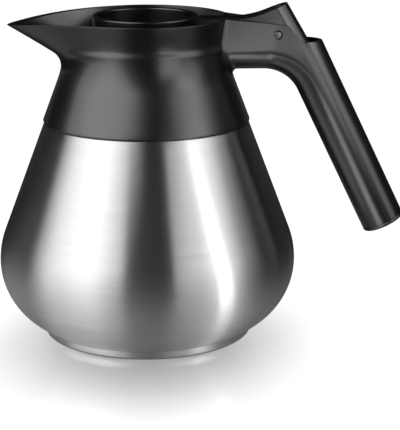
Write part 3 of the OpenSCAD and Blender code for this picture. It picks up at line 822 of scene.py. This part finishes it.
def on_bracket(x, column):
    """The bracket's outer point and outward direction at x for a column."""
    up, a = column
    w = bracket_half(x)
    n = np.array([root_taper if w > grip_r + 1 else 0.0, cos(a) / w, -sin(a) / grip_r])
    n[1:] /= np.linalg.norm(n[1:])
    n /= np.linalg.norm(n)
    return np.array([x, w * cos(a), bracket_z + up - grip_r * sin(a)]), n


def root_line(column):
    """The rolled fillet between collar and bracket, then the bracket's side as far as the elbow."""
    fillet = 2.6 + 4.4 * cos(column[1]) ** 2
    low, high = 36.0, 62.0
    for _ in range(40):
        x = (low + high) / 2
        p, n = on_bracket(x, column)
        if off_collar(p + fillet * n)[0] < fillet:
            low = x
        else:
            high = x
    p, n = on_bracket(high, column)
    centre = p + fillet * n
    off_wall = off_collar(centre)[1]
    angle = acos(float(np.clip(off_wall @ n, -1, 1)))
    buried = centre - (fillet + 0.8) * off_wall
    line = [np.array([30.0, buried[1] * 0.85, buried[2]]), buried]
    for share in np.linspace(0, 1, 13):
        way = (sin((1 - share) * angle) * off_wall + sin(share * angle) * n) / sin(angle)
        line.append(centre - fillet * way)
    return line + [on_bracket(x, column)[0] for x in np.linspace(high, elbow_x, 15)[1:]]


def elbow_line(turn, r, half_width=None):
    """The D-shaped section at an angle round the elbow, as high as the grip's axis plane."""
    n = np.array([sin(turn), cos(turn)])
    c = elbow_c + elbow_r * n
    reach = (top_z - c[1]) / n[1]
    if n @ grip_across > 1e-6:
        reach = min(reach, max(0.0, (grip_top - c) @ grip_across / (n @ grip_across)))
    w = half_width or bracket_half(c[0])
    line = []
    for up, a in columns:
        x, z = c + n * (up / (top_z - bracket_z) * reach - r * sin(a))
        line.append((x, w * cos(a), z))
    return line


def elbow(r, half_width=None):
    return [elbow_line(elbow_turn * i / 26, r, half_width) for i in range(1, 27)]


def grip_bar(name, r, low, high):
    """A round bar on the grip's axis, from low to high along it, counted from the elbow's corner."""
    lines = []
    for along in np.linspace(low, high, 31):
        c = grip_top + grip_up * along
        lines.append([(c[0] + x * cos(grip_lean), y, c[1] + x * sin(grip_lean)) for x, y in circle(r, 96)])
    return loft(name, lines, collar_black)


def on_pin_axis(name, stations, finish):
    """A bar on the pin's axis: each station is a place across the part and the bar's radius there."""
    return loft(name, [[(pin_x + x, y, pin_z + z) for x, z in circle(r, 48)] for y, r in stations], finish)


def narrowing(z):
    """The share of its width that the handle keeps at height z: its sides lean in above the axis."""
    up = z - bracket_z
    return 1 - 0.008 * (up + sqrt(up * up + 9)) / 2


def drafted(piece):
    for point in piece.data.vertices:
        point.co.y *= narrowing(point.co.z / MM)
    return piece


root = np.array([root_line(c) for c in columns]).transpose(1, 0, 2)
bracket_lines = [[tuple(p) for p in line] for line in root] + elbow(grip_r)
bracket = loft("bracket_moulding", bracket_lines, collar_black)
collar_core = [level_line(skin(z, 1.2), z) for z in np.linspace(110, 210, 101)]
bracket = cut(bracket, loft("core", collar_core, collar_black))
grip = grip_bar("grip_moulding", grip_r, -grip_len + cap_t, 30)

# The handle's top edge leaves the collar level with its rim, falls gently to behind the pin, and
# then steeply to the level of the grip's open mouth
clear_x = 140
clear_z = 230
slant = radians(53)
slant_top = (pin_x + 6.3, pin_z + 4.9)
slant_low = (slant_top[0] + (slant_top[1] - mouth_z) / tan(slant), mouth_z)
top_path = [(20, rim_z), (44.5, rim_z), slant_top, slant_low, (slant_low[0] + 30, mouth_z)]
above_outline = (top_path[:1]
                 + bends(top_path, [(30, 8), (4, 10), (5, 10)])
                 + [(clear_x, mouth_z), (clear_x, clear_z), (20, clear_z)])
cheek_half = grip_r * narrowing(pin_z)
slot_x = front_r + collar_t - 0.4
slot_floor_z = 173.8


def open_up(piece):
    """Takes away what is above the top edge, the pocket for the lever, the bore and the pin's hole."""
    piece = cut(piece, side_slab("above", above_outline, 60, collar_black))
    pocket = [[(x, bore_r * cos(a), bracket_z + up - bore_r * sin(a)) for up, a in columns]
              for x in (slot_x, elbow_x)]
    piece = cut(piece, loft("pocket", pocket + elbow(bore_r, bore_r), collar_black))
    piece = cut(piece, grip_bar("bore", bore_r - 0.02, -grip_len, 32))
    seat = cheek_half - 0.6
    stations = [(seat - 0.1, pin_r + 0.02), (seat, pin_r + 0.65), (16, pin_r + 0.65)]
    mirrored = [(-y, r) for y, r in stations[::-1]]
    return cut(piece, on_pin_axis("pin_hole", mirrored + stations, collar_black))


bracket = open_up(drafted(bracket))
grip = open_up(drafted(grip))
slot_front_x = front_r - 8
slot_back_x = slot_x + 2
arm_slot = [(slot_front_x, slot_floor_z), (slot_back_x, slot_floor_z),
            (slot_back_x, clear_z), (slot_front_x, clear_z)]
collar = cut(collar, side_slab("arm_slot", arm_slot, bore_r, collar_black))
bracket = cut(bracket, side_slab("arm_slot", arm_slot, bore_r, collar_black))


def one_moulding(piece, *others):
    """Puts forms that are moulded in one into the first one's mesh."""
    whole = bmesh.new()
    whole.from_mesh(piece.data)
    for other in others:
        whole.from_mesh(other.data)
        bpy.data.objects.remove(other)
    whole.to_mesh(piece.data)
    whole.free()
    return piece


def even_shading(piece, sharp):
    """Smooth shading in which broad faces stay flat and the small rounds between them turn."""
    creased(piece, sharp)
    modifier = piece.modifiers.new("even", "WEIGHTED_NORMAL")
    modifier.keep_sharp = True
    modifier.weight = 75
    return plain_copy(piece, piece.name)


stands_for(even_shading(one_moulding(collar, bracket, grip), 38), "collar", "carafe")


# ---------------------------------------------------------------------------------------------
# Handle cap: closes the lower end of the tube grip. It is a black moulding whose collar is pushed
# into the bore until its flat end sits on the grip's.
# ---------------------------------------------------------------------------------------------
plug_in_r = bore_r - 0.1
plug_wall_r = bore_r - 1.9
plug_in_z = 9
cap_outline = [(0, 0), (grip_r, 0), (grip_r, cap_t - 0.1), (plug_in_r, cap_t - 0.1), (plug_in_r, plug_in_z),
               (plug_wall_r, plug_in_z), (plug_wall_r, cap_t), (0, cap_t)]


def set_on(piece, x, z, angle, axis):
    """Turns a piece from the vertical axis and sets it at a place in the plane of symmetry."""
    piece.data.transform(Matrix.Translation((x * MM, 0, z * MM)) @ Matrix.Rotation(angle, 4, axis))
    return piece


cap = turned("handle_cap_moulding", softened(cap_outline, 0.9), collar_black, 96)
cap_x, cap_z = grip_top - grip_up * grip_len
stands_for(set_on(cap, cap_x, cap_z, -grip_lean, "Y"), "handle_cap", "carafe")


# ---------------------------------------------------------------------------------------------
# Hinge pin: a ground steel pin pressed through the bracket's cheeks, with the lever turning on it.
# Its ends lie just below the cheeks, in round seats.
# ---------------------------------------------------------------------------------------------
pin_steel, node = new_finish("pin_steel")
turnings = mottle(node, 1500, 3)
rough = node("ShaderNodeMapRange", {"Value": turnings.outputs["Fac"], "To Min": 0.30, "To Max": 0.42})
show(node, node("ShaderNodeBsdfPrincipled", {
    "Base Color": (0.22, 0.22, 0.23, 1), "Metallic": 1.0, "Roughness": rough.outputs[0],
}))

pin_half = cheek_half - 0.25
pin_outline = [(0, -pin_half), (pin_r, -pin_half), (pin_r, pin_half), (0, pin_half)]
pin = turned("hinge_pin_steel", softened(pin_outline, 0.35), pin_steel, 64)
stands_for(set_on(pin, pin_x, pin_z, pi / 2, "X"), "hinge_pin", "carafe")


# ---------------------------------------------------------------------------------------------
# Lid: a round open dish with a flange below, moulded in one with the arm and the thumb lever that
# run back over the pin into the handle. The lever's top is dished between two raised side rails.
# ---------------------------------------------------------------------------------------------
dish_r = 29.7
dish_z = 183.4
dish_floor_z = dish_z - 12.4
lid_t = 1.8
dish_wall_r = dish_r - 2.2
spigot_r = dish_r - lid_t - joint_gap
seal_low_z = land_z + seat_gap
seal_t = 1.8
lid_flange_z = seal_low_z + seal_t + joint_gap
lid_flange_r = mouth_r + land_w - 0.3

lid_black = moulded("lid_black", 0.002, 0.25, 3000, 0.00004)
dish_path = [(lid_flange_r, lid_flange_z), (lid_flange_r, lid_flange_z + lid_t),
             (dish_r, lid_flange_z + lid_t), (dish_r, dish_z), (dish_wall_r, dish_z),
             (dish_wall_r, dish_floor_z), (0, dish_floor_z)]
dish_outline = ([(0, dish_floor_z - lid_t), (spigot_r + joint_gap, dish_floor_z - lid_t),
                 (spigot_r + joint_gap, lid_flange_z), (lid_flange_r - 0.3, lid_flange_z),
                 (lid_flange_r, lid_flange_z + 0.3), (lid_flange_r, lid_flange_z + lid_t - 0.6)]
                + bends(dish_path, [(0.6, 4), (1.6, 8), (0.95, 8), (0.95, 8), (3, 10)])
                + dish_path[-1:])
lid = turned("lid_moulding", dish_outline, lid_black, 200)

lever_half = 9.8
lever_t = 2.0
rail_h = 1.2
rail_w = 1.4
back_r = lever_half + 0.9
back_half = lever_half + 0.6
hub_r = 4.3
arm_z = 181.7
arm_bottom_z = arm_z - 6.5
arm_x = dish_r - 4
thumb_x = pin_x + 5.4
thumb_z = 190.2
thumb_slope = radians(22)
thumb_end_x = thumb_x + 20
rear_lean = radians(30.4)
foot_z = mouth_z - 1.2
foot_x = thumb_x + (thumb_z - foot_z) * tan(rear_lean)
slope_x = thumb_x - (thumb_z - arm_z) / tan(thumb_slope)


def lever_top(drop):
    """The lever's top line from the dish to beyond the thumb's edge, lowered by drop."""
    far_z = thumb_z + (thumb_end_x - thumb_x) * tan(thumb_slope) - drop / cos(thumb_slope)
    bend = (slope_x + drop * tan(thumb_slope / 2), arm_z - drop)
    far = (thumb_end_x, far_z)
    return [(arm_x, arm_z - drop)] + corner((dish_r, arm_z - drop), bend, far, 50 + drop, 24) + [far]


def lever_top_from(x, drop):
    """The same line, no nearer the dish than x."""
    return [(max(x, point_x), z) for point_x, z in lever_top(drop)]


def up_the_back(name, plan, low, high):
    """A prism along the lever's leaning back, from a plan counted from the back's middle."""
    lines = []
    for up in (low, high):
        lines.append([(foot_x + x * cos(rear_lean) - up * sin(rear_lean), y,
                       foot_z + x * sin(rear_lean) + up * cos(rear_lean)) for x, y in plan])
    return loft(name, lines, lid_black)


def ahead_of_back(name, inset):
    """Everything ahead of the lever's rounded back, moved in by inset."""
    r = back_r - inset
    widest = asin(back_half / r) if r > back_half else pi / 2
    plan = [(-back_r + r * cos(a), r * sin(a)) for a in np.linspace(-widest, widest, 41)]
    return up_the_back(name, [(-110, plan[0][1])] + plan + [(-110, plan[-1][1])], -60, 70)


lever_outline = lever_top(0) + [(thumb_end_x, foot_z), (pin_x + 8, foot_z), (pin_x - hub_r, pin_z - hub_r),
                                (pin_x - 2 * hub_r, arm_bottom_z), (arm_x, arm_bottom_z)]
lever = side_slab("lever", lever_outline, lever_half, lid_black)
lever = cut(lever, ahead_of_back("back", 0), "INTERSECT")

# The dished top, with a rail left at each side and at the back
dishing_x = dish_r + 1
dishing_outline = lever_top_from(dishing_x, rail_h) + [(thumb_end_x, clear_z), (dishing_x, clear_z)]
dishing = side_slab("dishing", dishing_outline, lever_half - rail_w, lid_black)
lever = cut(lever, cut(dishing, ahead_of_back("dishing_back", rail_w), "INTERSECT"))

# Behind the pin the lever's sides step in below the pin, and a fine groove runs up beside its back
low_half = lever_half - 1.4
groove_y = lever_half - 0.9
step_x = pin_x + hub_r
step_low_z = pin_z - 40
step_z = pin_z - 0.6
for side in (-1, 1):
    step = [(step_x, step_low_z), (120, step_low_z), (120, step_z), (step_x, step_z)]
    lines = [[(x, y, z) for x, z in step] for y in (side * low_half, side * 20)]
    lever = cut(lever, loft("side_step", lines, lid_black))
for side in (-1, 1):
    plan = [(-7.4, side * 20), (-6.4, side * 20), (-6.4, side * groove_y), (-7.4, side * groove_y)]
    lever = cut(lever, up_the_back("back_groove", plan, -20, 45))

bevel = lever.modifiers.new("edges", "BEVEL")
bevel.width = 0.00035
bevel.segments = 2
bevel.limit_method = "ANGLE"
bevel.angle_limit = radians(40)
bevel.use_clamp_overlap = True
lever = plain_copy(lever, "lever")

# The lever is hollow from below, apart from the hub that the pin runs through
hollow_x = dish_r + lever_t
hollow_outline = (lever_top_from(hollow_x, rail_h + lever_t)
                  + [(thumb_end_x, foot_z - 30), (hollow_x, foot_z - 30)])
hollow = side_slab("hollow", hollow_outline, low_half - lever_t, lid_black)
hollow = cut(hollow, ahead_of_back("hollow_back", lever_t), "INTERSECT")
hollow = cut(hollow, on_pin_axis("hub", [(-12, hub_r), (12, hub_r)], lid_black))
lever = cut(lever, hollow)
lever = cut(lever, on_pin_axis("lever_bore", [(-12, pin_r + 0.06), (12, pin_r + 0.06)], lid_black))
dish_room = [[(x, y, z) for x, y in circle(dish_r - 1.1, 160)] for z in (150, 200)]
lever = cut(lever, loft("dish_room", dish_room, lid_black))
stands_for(even_shading(one_moulding(lid, drafted(lever)), 40), "lid", "lid")


# ---------------------------------------------------------------------------------------------
# Lid plug: the closed cup of black plastic under the dish, which fills the mouth and keeps the
# heat in. Its spigot is pushed up inside the dish's wall from below.
# ---------------------------------------------------------------------------------------------
plug_r = mouth_r - 1.2
plug_low_r = plug_r - 1.2
plug_low_z = land_z - 4.4
plug_top_z = dish_floor_z - lid_t - joint_gap
plug_rest_z = lid_flange_z - joint_gap
plug_outline = [
    (0, plug_low_z), (plug_low_r, plug_low_z), (plug_r, plug_rest_z), (spigot_r, plug_rest_z),
    (spigot_r, plug_top_z), (spigot_r - lid_t, plug_top_z), (spigot_r - lid_t, plug_rest_z - lid_t),
    (plug_low_r - lid_t, plug_rest_z - lid_t), (plug_low_r - lid_t, plug_low_z + lid_t),
    (0, plug_low_z + lid_t),
]
plug = turned("lid_plug_moulding", softened(plug_outline, 0.6), lid_black)
stands_for(plug, "lid_plug", "lid")


# ---------------------------------------------------------------------------------------------
# Lid seal: a soft silicone ring round the plug, held up against the dish's flange. It rests on the
# mouth ring's land when the lid is shut.
# ---------------------------------------------------------------------------------------------
seal = silicone_ring("lid_seal_ring", plug_r + joint_gap, lid_flange_r - 0.4,
                     seal_low_z, seal_low_z + seal_t, 0.5)
stands_for(seal, "lid_seal", "lid")
